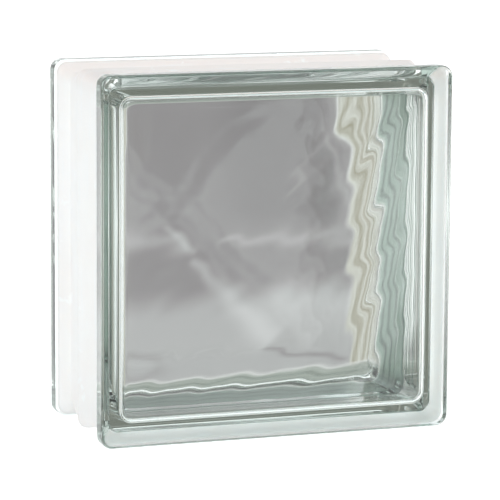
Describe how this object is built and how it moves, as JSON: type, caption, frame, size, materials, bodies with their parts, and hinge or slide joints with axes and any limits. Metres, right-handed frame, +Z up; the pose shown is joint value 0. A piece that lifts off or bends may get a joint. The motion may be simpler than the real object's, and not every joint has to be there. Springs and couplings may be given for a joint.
{
  "type": "hollow glass block",
  "caption": "Square hollow glass building block with wave-pressed faces, thick lips and a recessed, white-coated mortar channel round its edge.",
  "frame": {"origin": "middle of the underside: halfway across the width and the depth, on the plane that the two lips stand on", "axes": "+X across the face to the right, +Y from the front face to the back face, +Z up"},
  "size_m": [0.197, 0.098, 0.197],
  "materials": {
    "glass": "clear pressed soda-lime glass with a faint green cast, fire polished",
    "edge_coat": "thin matt white bonding coat, slightly uneven"
  },
  "bodies": {
    "root": {"front_half": "glass", "back_half": "glass", "edge_coating": "edge_coat"}
  },
  "joints": []
}
